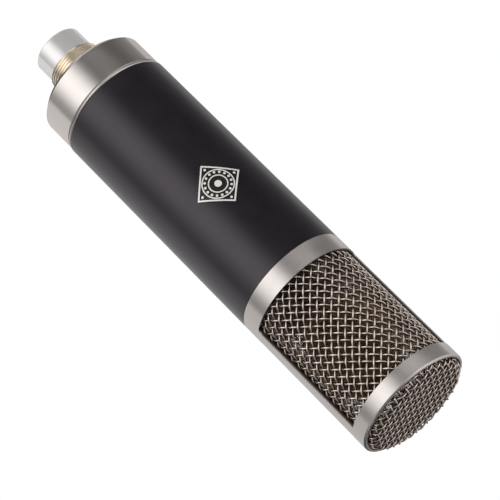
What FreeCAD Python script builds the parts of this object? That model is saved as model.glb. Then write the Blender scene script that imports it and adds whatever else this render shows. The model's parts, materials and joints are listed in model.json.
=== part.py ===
import FreeCAD, Part
import math
import os
import Sketcher
from FreeCAD import Placement, Rotation, Vector

# Side-address studio microphone, in millimetres.
# Z runs up the body axis and z = 0 is the seat on the tail cap's flat bottom face.
# The front of the microphone, with the badge, faces -Y.

DIMENSIONS = {
    # housing
    "body_radius": 22.0,
    "body_wall": 1.5,
    "running_gap": 0.1,
    "seam_gap": 0.16,
    "head_seam": 110.4,
    # tail cap
    "cap_height": 16.0,
    "cap_radius": 21.75,
    "cap_wall": 1.4,
    "cap_floor": 3.2,
    "cap_boss_radius": 13.5,
    "cap_boss_top": 9.0,
    "cap_chamfer": 1.8,
    "bead_height": 1.3,
    "bead_groove": 0.4,
    "bead_round": 0.6,
    "washer_thickness": 0.72,
    "washer_width": 0.8,
    # threaded stem and connector
    "thread_radius": 10.5,
    "thread_end": -10.0,
    "stem_undercut": 0.6,
    "stem_undercut_top": 1.2,
    "stem_flange_radius": 15.0,
    "stem_flange_bottom": 17.0,
    "stem_bore_radius": 9.25,
    "barrel_radius": 9.6,
    "barrel_top": -10.25,
    "barrel_end": -19.4,
    "barrel_chamfer": 0.35,
    "neck_radius": 9.2,
    "socket_radius": 8.1,
    "sleeve_top": 6.0,
    "insert_face": -3.7,
    "pin_radius": 1.2,
    "pin_circle": 4.05,
    "pin_tip": -16.0,
    "pin_nose": 0.84,
    "pin_nose_radius": 0.54,
    "lock_height": 1.5,
    "lock_depth": 3.1,
    "solder_cup_top": 8.0,
    # chassis
    "bulkhead_radius": 20.4,
    "tail_bulkhead_bottom": 18.6,
    "tail_bulkhead_height": 7.0,
    "head_bulkhead_bottom": 104.4,
    "head_flange_radius": 20.75,
    "head_bulkhead_top": 112.5,
    "wire_hole_radius": 8.5,
    "rail_inner": 16.8,
    "rail_thickness": 2.0,
    "rail_width": 6.0,
    "rail_flange": 4.0,
    "rail_flange_thickness": 1.5,
    "rail_bottom": 19.8,
    "rail_top": 110.2,
    "rail_flange_gap": 4.0,
    "rail_top_gap": 0.4,
    "o_ring_section": 0.6,
    "o_ring_drop": 2.4,
    # screws
    "screw_radius": 1.0,
    "screw_head_radius": 1.75,
    "screw_head_height": 1.1,
    "thread_fit": 0.03,
    "rail_screw_length": 5.0,
    "rail_tap_depth": 6.0,
    "tail_rail_screw": 3.2,
    "head_rail_screw": 1.8,
    "frame_screw_length": 8.6,
    "frame_screw_sink": 0.2,
    "stem_screw_length": 5.5,
    "stem_tap_depth": 5.0,
    "board_screw_length": 3.0,
    # grille
    "frame_wall": 1.15,
    "frame_floor_bottom": 112.6,
    "frame_floor_top": 114.6,
    "frame_floor_radius": 16.4,
    "frame_screw_circle": 18.1,
    "window_bottom": 118.0,
    "window_top": 166.0,
    "window_corner": 1.5,
    "post_width": 7.3,
    "frame_end": 172.05,
    "rim_round": 0.7,
    "mesh_gap": 0.1,
    "mesh_thickness": 1.2,
    "fine_mesh_thickness": 0.45,
    "mesh_layer_gap": 0.1,
    "mesh_bottom": 114.8,
    "mesh_top": 167.4,
    "retainer_bottom": 167.5,
    "retainer_top": 169.0,
    "retainer_radius": 18.0,
    "dome_radius": 20.3,
    "dome_top": 174.45,
    "dome_shoulder": 2.4,
    # badge
    "badge_diagonal": 18.6,
    "badge_centre": 74.2,
    "badge_base": 0.3,
    "badge_relief": 0.3,
    "badge_border": 0.55,
    "badge_line": 0.42,
    "badge_large_circle": 5.77,
    "badge_small_circle": 3.53,
    "badge_dot_radius": 1.3,
    "badge_bead_radius": 0.46,
    "badge_bead_circle": 4.65,
    "badge_corner_reach": 7.1,
    "badge_pin_radius": 0.7,
    "badge_pin_reach": 4.65,
    # capsule
    "capsule_radius": 17.0,
    "capsule_centre": 142.5,
    "spacer_half": 2.0,
    "spacer_inner_radius": 12.0,
    "backplate_thickness": 3.5,
    "diaphragm_thickness": 0.1,
    "clamp_thickness": 1.6,
    "clamp_inner_radius": 13.2,
    "diaphragm_inset": 0.4,
    "ring_screw_circle": 15.1,
    "ring_screw_radius": 0.55,
    "ring_screw_head": 1.0,
    "ring_screw_head_height": 0.7,
    "ring_screw_depth": 2.0,
    "ring_tap_depth": 2.2,
    "terminal_radius": 1.6,
    "terminal_height": 0.8,
    "isolator_radius": 7.0,
    "isolator_height": 4.0,
    "saddle_base_radius": 8.0,
    "saddle_base_height": 2.6,
    "saddle_width": 20.0,
    "saddle_depth": 7.0,
    "saddle_top": 128.8,
    "saddle_neck_width": 10.0,
    "saddle_cradle_height": 5.0,
    "saddle_screw_radius": 1.5,
    "saddle_screw_head": 2.8,
    "saddle_screw_head_height": 1.6,
    "saddle_seat_depth": 2.0,
    # circuit board
    "board_width": 33.0,
    "board_thickness": 1.6,
    "board_bottom": 48.0,
    "board_top": 102.0,
    "board_face": -0.1,
    "board_screw_inset": 3.5,
    "film_left": -12.0,
    "film_width": 7.0,
    "film_depth": 5.0,
    "film_length": 10.0,
    "film_bottom": 59.0,
    "film_step": 13.0,
    "can_radius": 3.2,
    "can_length": 9.0,
    "can_across": 6.0,
    "can_bottom": 64.0,
    "can_step": 14.0,
    "transistor_radius": 2.3,
    "transistor_length": 4.5,
    "transistor_rim_radius": 2.8,
    "transistor_rim_thickness": 0.6,
    "transistor_across": 7.0,
    "transistor_height": 91.0,
    "resistor_radius": 1.15,
    "resistor_length": 6.4,
    "resistor_left": -10.0,
    "resistor_step": 4.0,
    "resistor_rise": 1.4,
    "resistor_bottom": 66.0,
    "resistor_leg_radius": 0.35,
    "resistor_leg_length": 1.75,
    "resistor_leg_bottom": 64.6,
    "resistor_leg_step": 9.0,
    # output transformer
    "core_width": 22.0,
    "core_depth": 12.0,
    "core_height": 18.0,
    "core_bottom": 27.6,
    "core_leg": 7.0,
    "core_window": 4.0,
    "core_yoke": 4.0,
    "winding_depth": 19.0,
    "winding_gap": 0.15,
    "strap_thickness": 1.2,
    "strap_inset": 1.0,
    "foot_thickness": 1.4,
    "foot_gap": 0.4,
    "foot_screw_inset": 2.4,
    "foot_screw_head": 1.6,
    "foot_screw_length": 3.3,
    "foot_tap_depth": 2.1,
    # wires
    "lead_radius": 0.35,
    "lead_offset": 8.6,
    "lead_landing": 3.0,
    "lead_bend": 3.0,
    "connector_lead_radius": 0.45,
    "connector_lead_spread": 3.2,
    "connector_lead_near": 7.2,
    "connector_lead_far": 10.8,
    "connector_lead_rise": 4.0,
    "connector_lead_turn": 6.0,
    "connector_landing": 4.0,
    "connector_lead_bend": 4.0,
}

doc = FreeCAD.newDocument("StudioMicrophone")
sheet = doc.addObject("Spreadsheet::Sheet", "Dims")
for row, (alias, number) in enumerate(DIMENSIONS.items(), start=1):
    sheet.set(f"A{row}", alias.replace("_", " "))
    sheet.set(f"B{row}", str(number))
    sheet.setAlias(f"B{row}", alias)
doc.recompute()


class Size:
    """A length that knows its value and the spreadsheet expression behind it."""

    def __init__(self, value, text):
        self.value = value
        self.text = text

    @staticmethod
    def of(other):
        return other if isinstance(other, Size) else Size(float(other), f"{float(other):.6f}")

    def __add__(self, other):
        other = Size.of(other)
        return Size(self.value + other.value, f"({self.text} + {other.text})")

    def __sub__(self, other):
        other = Size.of(other)
        return Size(self.value - other.value, f"({self.text} - {other.text})")

    def __mul__(self, factor):
        return Size(self.value * factor, f"({self.text} * {factor:.6f})")

    def __truediv__(self, divisor):
        return self * (1.0 / divisor)

    def __neg__(self):
        return self * -1.0

    __rmul__ = __mul__


class Dimensions:
    """Reads a driving dimension by its spreadsheet alias."""

    def __getattr__(self, alias):
        return Size(float(sheet.get(alias)), f"Dims.{alias}")


dim = Dimensions()
ZERO = Size.of(0)
finished = []


def bind(item, **sizes):
    for name, size in sizes.items():
        item.setExpression(name, Size.of(size).text)


def place(item, x=ZERO, y=ZERO, z=ZERO, rotation=None):
    """Sets a rotation and binds the position to the sheet."""
    if rotation is not None:
        item.Placement = Placement(Vector(), rotation)
    for axis, size in zip("xyz", (x, y, z)):
        item.setExpression(f"Placement.Base.{axis}", Size.of(size).text)
    return item


def node(item, label):
    """Gives a finished sub-part the label that names its file."""
    item.Label = label
    finished.append(item)
    return item


def polar(radius, angle):
    return radius * math.cos(math.radians(angle)), radius * math.sin(math.radians(angle))


# ---------------------------------------------------------------- places shared by several pieces

FRAME_SCREW_ANGLES = (45, 135, 225, 315)
STEM_SCREW_ANGLES = (90, 210, 330)
PIN_ANGLES = (0, 180, 270)
BADGE_BEADS = 16
BADGE_CORNERS = 4
RING_SCREW_COUNT = 8
FILM_COUNT = 3
CAN_COUNT = 2
RESISTOR_COUNT = 6
STEM_SCREW_CIRCLE = (dim.thread_radius + dim.stem_flange_radius) / 2
FOOT_SCREW_REACH = dim.rail_inner - dim.foot_screw_inset
TAIL_RAIL_SCREW = dim.tail_bulkhead_bottom + dim.tail_rail_screw
HEAD_RAIL_SCREW = dim.head_bulkhead_bottom + dim.head_rail_screw
BOARD_SCREW_REACH = dim.rail_inner - dim.rail_flange / 2
BOARD_SCREW_HEIGHTS = (dim.board_bottom + dim.board_screw_inset, dim.board_top - dim.board_screw_inset)
SCREW_HOLE = dim.screw_radius + dim.thread_fit
FRAME_SCREW_SEAT = dim.head_bulkhead_bottom + dim.screw_head_height + dim.frame_screw_sink
# Clearance round a part that drops into its seat.
SLIP = 0.1
# A cutter reaches this far past the face that it opens.
OVERSHOOT = 1
# The badge's outlines start this far inside the tube's skin and end this far outside it.
BADGE_REACH = 5
BADGE_PIN_HOLE_REACH = 2
# With both windows cut, less than this share of the blank frame is left.
WINDOWED_SHARE = 0.75
# An arc of a wire takes at most this share of the runs beside it.
BEND_SHARE = 0.45


# ---------------------------------------------------------------- building blocks

UP = Rotation()
DOWN = Rotation(Vector(1, 0, 0), 180)
FRONTWARD = Rotation(Vector(0, 0, 1), Vector(0, -1, 0))
REARWARD = Rotation(Vector(0, 0, 1), Vector(0, 1, 0))
RIGHTWARD = Rotation(Vector(0, 0, 1), Vector(1, 0, 0))
LEFTWARD = Rotation(Vector(0, 0, 1), Vector(-1, 0, 0))


def cylinder(name, radius, length, x=ZERO, y=ZERO, z=ZERO, direction=UP):
    item = doc.addObject("Part::Cylinder", name)
    bind(item, Radius=radius, Height=length)
    return place(item, x, y, z, direction)


def box(name, x_range, y_range, z_range):
    item = doc.addObject("Part::Box", name)
    (x_low, x_high), (y_low, y_high), (z_low, z_high) = (
        tuple(Size.of(end) for end in pair) for pair in (x_range, y_range, z_range)
    )
    bind(item, Length=x_high - x_low, Width=y_high - y_low, Height=z_high - z_low)
    return place(item, x_low, y_low, z_low)


def joined(name, items):
    """One object from several: overlapping solids merge and separate ones stay separate."""
    if len(items) == 1:
        return items[0]
    item = doc.addObject("Part::MultiFuse", name)
    item.Shapes = items
    return item


def cut(name, base, tools):
    item = doc.addObject("Part::Cut", name)
    item.Base = base
    item.Tool = joined(name + "_tools", tools)
    return item


def common(name, items):
    item = doc.addObject("Part::MultiCommon", name)
    item.Shapes = items
    return item


def screw(name, shank_radius, head_radius, head_height, length, x, y, z, direction):
    """A round-headed screw: its head's underside is at the given point and the shank runs along direction."""
    axis = direction.multVec(Vector(0, 0, 1))
    shank = cylinder(name + "_shank", shank_radius, length, x, y, z, direction)
    head_start = [Size.of(start) - head_height * part for start, part in zip((x, y, z), axis)]
    head = cylinder(name + "_head", head_radius, head_height, *head_start, direction)
    return joined(name, [shank, head])


def origin_plane(body, role):
    return next(item for item in body.Origin.OriginFeatures if item.Role == role)


def outline_sketch(body, name, role, points):
    """A closed outline whose corners are each tied to the sheet."""
    sketch = body.newObject("Sketcher::SketchObject", name)
    sketch.AttachmentSupport = (origin_plane(body, role), [""])
    sketch.MapMode = "FlatFace"
    corners = [(Size.of(across), Size.of(along)) for across, along in points]
    count = len(corners)
    for index in range(count):
        start, end = corners[index], corners[(index + 1) % count]
        line = Part.LineSegment(
            Vector(start[0].value, start[1].value, 0), Vector(end[0].value, end[1].value, 0)
        )
        sketch.addGeometry(line, False)
    for index in range(count):
        sketch.addConstraint(Sketcher.Constraint("Coincident", index, 2, (index + 1) % count, 1))
    for index, corner in enumerate(corners):
        for kind, size in zip(("DistanceX", "DistanceY"), corner):
            number = sketch.addConstraint(Sketcher.Constraint(kind, -1, 1, index, 1, size.value))
            sketch.setExpression(f"Constraints[{number}]", size.text)
    return sketch


def turned(name, points):
    """A lathe-turned body: the outline holds (radius, height) corners and turns about Z."""
    body = doc.addObject("PartDesign::Body", name)
    sketch = outline_sketch(body, name + "_profile", "XZ_Plane", points)
    revolution = body.newObject("PartDesign::Revolution", name + "_turn")
    revolution.Profile = sketch
    revolution.ReferenceAxis = (sketch, ["V_Axis"])
    revolution.Angle = 360
    sketch.Visibility = False
    doc.recompute()
    return body


def ring(name, inner, outer, bottom, top):
    return turned(name, [(inner, bottom), (outer, bottom), (outer, top), (inner, top)])


def circles_at(shape, radius, height):
    """Names of the circular edges about Z with this radius at this height."""
    names = []
    for index, edge in enumerate(shape.Edges, start=1):
        curve = edge.Curve
        if not isinstance(curve, Part.Circle):
            continue
        if abs(curve.Radius - radius.value) < 1e-4 and abs(curve.Center.z - height.value) < 1e-4:
            names.append(f"Edge{index}")
    return names


def dress(body, kind, name, edges, size):
    """Adds a PartDesign fillet or chamfer to named edges of the body's tip."""
    base = body.Tip
    feature = body.newObject(f"PartDesign::{kind}", name)
    feature.Base = (base, edges)
    bind(feature, **{"Radius" if kind == "Fillet" else "Size": size})
    base.Visibility = False
    body.Tip = feature
    doc.recompute()
    return feature


# ---------------------------------------------------------------- grille

def make_grille_frame():
    """Base ring, two side posts and top ring, turned in one piece with an inner floor."""
    outer = dim.body_radius
    inner = outer - dim.frame_wall
    bottom = dim.head_seam + dim.seam_gap / 2
    body = turned("frame_blank", [
        (inner, bottom),
        (outer, bottom),
        (outer, dim.frame_end),
        (inner, dim.frame_end),
        (inner, dim.frame_floor_top),
        (dim.frame_floor_radius, dim.frame_floor_top),
        (dim.frame_floor_radius, dim.frame_floor_bottom),
        (inner, dim.frame_floor_bottom),
    ])
    dress(body, "Fillet", "frame_rim", circles_at(body.Shape, outer, dim.frame_end), dim.rim_round)

    solid_before = body.Shape.Volume
    reach = outer + OVERSHOOT
    windows = outline_sketch(body, "frame_window_outline", "YZ_Plane", [
        (dim.post_width / 2, dim.window_bottom),
        (reach, dim.window_bottom),
        (reach, dim.window_top),
        (dim.post_width / 2, dim.window_top),
    ])
    pocket = body.newObject("PartDesign::Pocket", "frame_rear_window")
    pocket.Profile = windows
    pocket.Type = "ThroughAll"
    pocket.Midplane = True
    body.Tip = pocket
    doc.recompute()
    mirrored = body.newObject("PartDesign::Mirrored", "frame_front_window")
    mirrored.Originals = [pocket]
    mirrored.MirrorPlane = (origin_plane(body, "XZ_Plane"), [""])
    body.Tip = mirrored
    doc.recompute()
    assert body.Shape.Volume < solid_before * WINDOWED_SHARE, "the windows cut too little"

    corners = []
    for index, edge in enumerate(body.Shape.Edges, start=1):
        middle = edge.BoundBox.Center
        at_sill = abs(middle.z - dim.window_bottom.value) < 1e-3
        at_post = abs(abs(middle.y) - dim.post_width.value / 2) < 1e-3
        if at_sill and at_post and edge.BoundBox.ZLength < 1e-3 and edge.BoundBox.YLength < 1e-3:
            corners.append(f"Edge{index}")
    dress(body, "Fillet", "frame_window_corners", corners, dim.window_corner)

    tapped = []
    through = dim.frame_floor_top - dim.frame_floor_bottom + 2 * OVERSHOOT
    for angle in FRAME_SCREW_ANGLES:
        x, y = polar(dim.frame_screw_circle, angle)
        tapped.append(cylinder(f"frame_tapped_{angle}", SCREW_HOLE, through,
                               x, y, dim.frame_floor_bottom - OVERSHOOT))
    node(cut("frame", body, tapped), "grille_frame")


def mesh_cup(name, label, radius, thickness, top):
    """A wire-mesh cup as a closed shell: a skirt, a rounded shoulder and a flat end."""
    bottom = dim.retainer_top + dim.mesh_gap
    inner = radius - thickness
    body = turned(name, [
        (inner, bottom),
        (radius, bottom),
        (radius, top),
        (ZERO, top),
        (ZERO, top - thickness),
        (inner, top - thickness),
    ])
    dress(body, "Fillet", name + "_shoulder", circles_at(body.Shape, radius, top), dim.dome_shoulder)
    inner_edges = circles_at(body.Shape, inner, top - thickness)
    dress(body, "Fillet", name + "_hollow", inner_edges, dim.dome_shoulder - thickness)
    node(body, label)


def make_meshes():
    wall_inside = dim.body_radius - dim.frame_wall
    outer = wall_inside - dim.mesh_gap
    inner = outer - dim.mesh_thickness
    fine_outer = inner - dim.mesh_layer_gap
    fine_inner = fine_outer - dim.fine_mesh_thickness
    node(ring("outer_wrap", inner, outer, dim.mesh_bottom, dim.mesh_top), "outer_mesh_wrap")
    node(ring("inner_wrap", fine_inner, fine_outer, dim.mesh_bottom, dim.mesh_top), "inner_mesh_wrap")
    node(ring("retainer", dim.retainer_radius, wall_inside, dim.retainer_bottom, dim.retainer_top),
         "mesh_retaining_ring")
    mesh_cup("outer_cup", "end_mesh_outer", dim.dome_radius, dim.mesh_thickness, dim.dome_top)
    step = dim.mesh_thickness + dim.mesh_layer_gap
    mesh_cup("inner_cup", "end_mesh_inner", dim.dome_radius - step, dim.fine_mesh_thickness,
             dim.dome_top - step)


# ---------------------------------------------------------------- body tube and badge

def make_body_tube():
    outer = dim.body_radius
    bottom = dim.cap_height + dim.seam_gap
    top = dim.head_seam - dim.seam_gap / 2
    tube = ring("tube", outer - dim.body_wall, outer, bottom, top)
    holes = []
    for side in (-1, 1):
        holes.append(cylinder(
            f"tube_pin_hole_{side + 1}", dim.badge_pin_radius, 2 * BADGE_PIN_HOLE_REACH,
            ZERO, -outer + BADGE_PIN_HOLE_REACH, dim.badge_centre + dim.badge_pin_reach * side, FRONTWARD,
        ))
    node(cut("tube_drilled", tube, holes), "body_tube")


def diamond(name, diagonal):
    """A square prism turned 45 degrees that reaches out through the front of the tube."""
    side = diagonal / math.sqrt(2)
    item = doc.addObject("Part::Box", name)
    bind(item, Length=side, Width=2 * BADGE_REACH, Height=side)
    item.Placement = Placement(Vector(), Rotation(Vector(0, 1, 0), 45))
    # The box turns about its own low corner, which ends up as the left tip of the diamond.
    return place(item, -diagonal / 2, -dim.body_radius - BADGE_REACH, dim.badge_centre)


def make_badge():
    """A curved plate with a raised border, two raised circles with beads between them, and corner beads."""
    skin = dim.body_radius
    base_outer = skin + dim.badge_base
    relief_outer = base_outer + dim.badge_relief
    low = dim.badge_centre - dim.badge_diagonal
    high = dim.badge_centre + dim.badge_diagonal
    plate = common("badge_base_plate", [
        ring("badge_base_shell", skin, base_outer, low, high),
        diamond("badge_outline", dim.badge_diagonal),
    ])
    bands = [cut("badge_border", diamond("badge_border_outer", dim.badge_diagonal),
                 [diamond("badge_border_inner", dim.badge_diagonal - dim.badge_border * 2 * math.sqrt(2))])]
    deep = 2 * BADGE_REACH
    reach = {"y": -skin + BADGE_REACH, "z": dim.badge_centre, "direction": FRONTWARD}
    for index, radius in enumerate((dim.badge_large_circle, dim.badge_small_circle)):
        outer = cylinder(f"badge_circle_{index}", radius, deep, **reach)
        inner = cylinder(f"badge_circle_inside_{index}", radius - dim.badge_line, deep, **reach)
        bands.append(cut(f"badge_band_{index}", outer, [inner]))
    bands.append(cylinder("badge_dot", dim.badge_dot_radius, deep, **reach))
    for count, circle in ((BADGE_BEADS, dim.badge_bead_circle), (BADGE_CORNERS, dim.badge_corner_reach)):
        for index in range(count):
            x, rise = polar(circle, index * 360 / count)
            bands.append(cylinder(f"badge_bead_{count}_{index}", dim.badge_bead_radius, deep,
                                  x, reach["y"], dim.badge_centre + rise, FRONTWARD))
    relief = common("badge_relief_part", [
        ring("badge_relief_shell", base_outer, relief_outer, low, high),
        joined("badge_bands", bands),
    ])
    node(joined("badge", [plate, relief]), "badge_plate")

    pins = []
    for side in (-1, 1):
        pins.append(cylinder(
            f"badge_pin_{side + 1}", dim.badge_pin_radius - dim.thread_fit, dim.body_wall - dim.thread_fit,
            ZERO, -skin + dim.body_wall, dim.badge_centre + dim.badge_pin_reach * side, FRONTWARD,
        ))
    node(joined("badge_pin_pair", pins), "badge_pins")


# ---------------------------------------------------------------- tail cap

def make_tail_cap():
    """A cup that screws along the stem, with a bead at its mouth and a seat for its washer."""
    radius = dim.cap_radius
    inside = radius - dim.cap_wall
    hole = dim.thread_radius + dim.running_gap
    groove_top = dim.cap_height - dim.bead_height
    groove_bottom = groove_top - dim.bead_groove
    groove_root = radius - dim.bead_groove
    seat = inside + dim.washer_width + dim.running_gap
    seat_bottom = dim.cap_height - dim.washer_thickness
    body = turned("cap", [
        (hole, ZERO),
        (radius, ZERO),
        (radius, groove_bottom),
        (groove_root, groove_bottom),
        (groove_root, groove_top),
        (dim.body_radius, groove_top),
        (dim.body_radius, dim.cap_height),
        (seat, dim.cap_height),
        (seat, seat_bottom),
        (inside, seat_bottom),
        (inside, dim.cap_floor),
        (dim.cap_boss_radius, dim.cap_floor),
        (dim.cap_boss_radius, dim.cap_boss_top),
        (hole, dim.cap_boss_top),
    ])
    dress(body, "Chamfer", "cap_bottom_edge", circles_at(body.Shape, radius, ZERO), dim.cap_chamfer)
    rounds = circles_at(body.Shape, dim.body_radius, groove_top)
    rounds += circles_at(body.Shape, dim.body_radius, dim.cap_height)
    dress(body, "Fillet", "cap_bead_rounds", rounds, dim.bead_round)
    node(body, "tail_cap")
    washer_top = dim.cap_height + dim.seam_gap / 2
    node(ring("washer", inside + dim.running_gap / 2, inside + dim.washer_width, seat_bottom, washer_top),
         "cap_washer")


# ---------------------------------------------------------------- stem and connector

def make_stem():
    """Tail tube with a flange: stand thread below an undercut, and the cap's thread above it."""
    step = dim.sleeve_top
    narrow = dim.socket_radius + SLIP
    body = turned("stem", [
        (dim.stem_bore_radius, dim.thread_end),
        (dim.thread_radius, dim.thread_end),
        (dim.thread_radius, ZERO),
        (dim.thread_radius - dim.stem_undercut, ZERO),
        (dim.thread_radius - dim.stem_undercut, dim.stem_undercut_top),
        (dim.thread_radius, dim.stem_undercut_top),
        (dim.thread_radius, dim.stem_flange_bottom),
        (dim.stem_flange_radius, dim.stem_flange_bottom),
        (dim.stem_flange_radius, dim.tail_bulkhead_bottom),
        (narrow, dim.tail_bulkhead_bottom),
        (narrow, step),
        (dim.stem_bore_radius, step),
    ])
    holes = []
    through = dim.tail_bulkhead_bottom - dim.stem_flange_bottom + 2 * OVERSHOOT
    for angle in STEM_SCREW_ANGLES:
        x, y = polar(STEM_SCREW_CIRCLE, angle)
        holes.append(cylinder(f"stem_hole_{angle}", SCREW_HOLE, through,
                              x, y, dim.stem_flange_bottom - OVERSHOOT))
    node(cut("stem_drilled", body, holes), "threaded_stem")


def make_connector():
    """Three-pin connector: a barrel, an insulating insert and the contact pins."""
    outer_end = dim.barrel_end
    sleeve = turned("sleeve", [
        (dim.socket_radius, outer_end),
        (dim.barrel_radius, outer_end),
        (dim.barrel_radius, dim.barrel_top),
        (dim.neck_radius, dim.barrel_top),
        (dim.neck_radius, dim.sleeve_top),
        (dim.socket_radius, dim.sleeve_top),
    ])
    edges = circles_at(sleeve.Shape, dim.barrel_radius, outer_end)
    edges += circles_at(sleeve.Shape, dim.socket_radius, outer_end)
    dress(sleeve, "Chamfer", "sleeve_edges", edges, dim.barrel_chamfer)
    lock_start = -dim.neck_radius
    lock_cut = (dim.screw_radius, dim.lock_depth + SLIP, ZERO, lock_start - SLIP, dim.lock_height, REARWARD)
    lock_hole = cylinder("sleeve_lock_hole", *lock_cut)
    node(cut("sleeve_drilled", sleeve, [lock_hole]), "connector_sleeve")

    insert_depth = dim.sleeve_top - dim.insert_face
    insert = cylinder("insert_disc", dim.socket_radius - SLIP / 2, insert_depth - SLIP, z=dim.insert_face)
    holes = [cylinder("insert_lock_hole", *lock_cut)]
    for index, angle in enumerate(PIN_ANGLES, start=1):
        x, y = polar(dim.pin_circle, angle)
        holes.append(cylinder(f"insert_pin_hole_{index}", dim.pin_radius, insert_depth + 2 * OVERSHOOT,
                              x, y, dim.insert_face - OVERSHOOT))
    node(cut("insert", insert, holes), "connector_insert")
    node(cylinder("lock", dim.screw_radius - dim.thread_fit, dim.lock_depth - 2 * SLIP,
                  ZERO, lock_start + SLIP / 2, dim.lock_height, REARWARD), "insert_screw")

    for index, angle in enumerate(PIN_ANGLES, start=1):
        x, y = polar(dim.pin_circle, angle)
        radius = dim.pin_radius - dim.thread_fit
        shaft_bottom = dim.pin_tip + dim.pin_nose
        shaft = cylinder(f"pin_{index}_shaft", radius, dim.solder_cup_top - shaft_bottom, x, y, shaft_bottom)
        tip = doc.addObject("Part::Cone", f"pin_{index}_tip")
        bind(tip, Radius1=dim.pin_nose_radius, Radius2=radius, Height=dim.pin_nose)
        place(tip, x, y, dim.pin_tip)
        node(joined(f"pin_{index}", [shaft, tip]), f"connector_pin_{index}")


# ---------------------------------------------------------------- chassis

def rail_notches(prefix, bottom, top):
    """Slots in a bulkhead's edge that the two rails lie in."""
    half = dim.rail_width / 2 + SLIP / 2
    inner = dim.rail_inner - dim.thread_fit
    outer = dim.bulkhead_radius + 2 * OVERSHOOT
    return [
        box(f"{prefix}_notch_right", (inner, outer), (-half, half), (bottom, top)),
        box(f"{prefix}_notch_left", (-outer, -inner), (-half, half), (bottom, top)),
    ]


def rail_screw_holes(prefix, height):
    holes = []
    start = dim.rail_inner + dim.rail_thickness + OVERSHOOT
    depth = dim.rail_thickness + dim.rail_tap_depth + OVERSHOOT
    for side, direction in ((1, LEFTWARD), (-1, RIGHTWARD)):
        holes.append(cylinder(f"{prefix}_rail_hole_{side + 1}", SCREW_HOLE, depth,
                              start * side, ZERO, height, direction))
    return holes


def make_bulkheads():
    low = dim.tail_bulkhead_bottom
    high = low + dim.tail_bulkhead_height
    tail = ring("tail_plate", dim.wire_hole_radius, dim.bulkhead_radius, low, high)
    cuts = rail_notches("tail", dim.rail_bottom - 2 * SLIP, high + OVERSHOOT)
    cuts += rail_screw_holes("tail", TAIL_RAIL_SCREW)
    for angle in STEM_SCREW_ANGLES:
        x, y = polar(STEM_SCREW_CIRCLE, angle)
        cuts.append(cylinder(f"tail_stem_hole_{angle}", SCREW_HOLE, dim.stem_tap_depth + OVERSHOOT,
                             x, y, low - OVERSHOOT))
    for side in (-1, 1):
        cuts.append(cylinder(f"tail_foot_hole_{side + 1}", SCREW_HOLE, dim.foot_tap_depth + OVERSHOOT,
                             FOOT_SCREW_REACH * side, ZERO, high - dim.foot_tap_depth))
    node(cut("tail_bulkhead_part", tail, cuts), "tail_bulkhead")

    low = dim.head_bulkhead_bottom
    flange_bottom = dim.head_seam + dim.seam_gap / 2
    groove_middle = dim.head_seam - dim.o_ring_drop
    groove_half = dim.o_ring_section + SLIP
    groove_root = dim.bulkhead_radius - 2 * dim.o_ring_section
    head = turned("head_plate", [
        (ZERO, low),
        (dim.bulkhead_radius, low),
        (dim.bulkhead_radius, groove_middle - groove_half),
        (groove_root, groove_middle - groove_half),
        (groove_root, groove_middle + groove_half),
        (dim.bulkhead_radius, groove_middle + groove_half),
        (dim.bulkhead_radius, flange_bottom),
        (dim.head_flange_radius, flange_bottom),
        (dim.head_flange_radius, dim.head_bulkhead_top),
        (ZERO, dim.head_bulkhead_top),
    ])
    start = low - OVERSHOOT
    through = dim.head_bulkhead_top + OVERSHOOT - start
    cuts = rail_notches("head", start, dim.rail_top + SLIP) + rail_screw_holes("head", HEAD_RAIL_SCREW)
    for angle in FRAME_SCREW_ANGLES:
        x, y = polar(dim.frame_screw_circle, angle)
        cuts.append(cylinder(f"head_screw_hole_{angle}", SCREW_HOLE, through, x, y, start))
        cuts.append(cylinder(f"head_screw_seat_{angle}", dim.screw_head_radius + SLIP,
                             FRAME_SCREW_SEAT - start, x, y, start))
    for side in (-1, 1):
        cuts.append(cylinder(f"head_lead_hole_{side + 1}", 2 * dim.lead_radius, through,
                             ZERO, dim.lead_offset * side, start))
    cuts.append(cylinder("head_saddle_hole", dim.saddle_screw_radius + dim.thread_fit, through, z=start))
    cuts.append(cylinder("head_saddle_seat", dim.saddle_screw_head + SLIP,
                         dim.saddle_seat_depth + OVERSHOOT, z=start))
    node(cut("head_bulkhead_part", head, cuts), "head_bulkhead")

    o_ring = doc.addObject("Part::Torus", "o_ring")
    bind(o_ring, Radius1=groove_root + dim.o_ring_section, Radius2=dim.o_ring_section - dim.thread_fit)
    place(o_ring, z=groove_middle)
    node(o_ring, "guide_o_ring")


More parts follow.
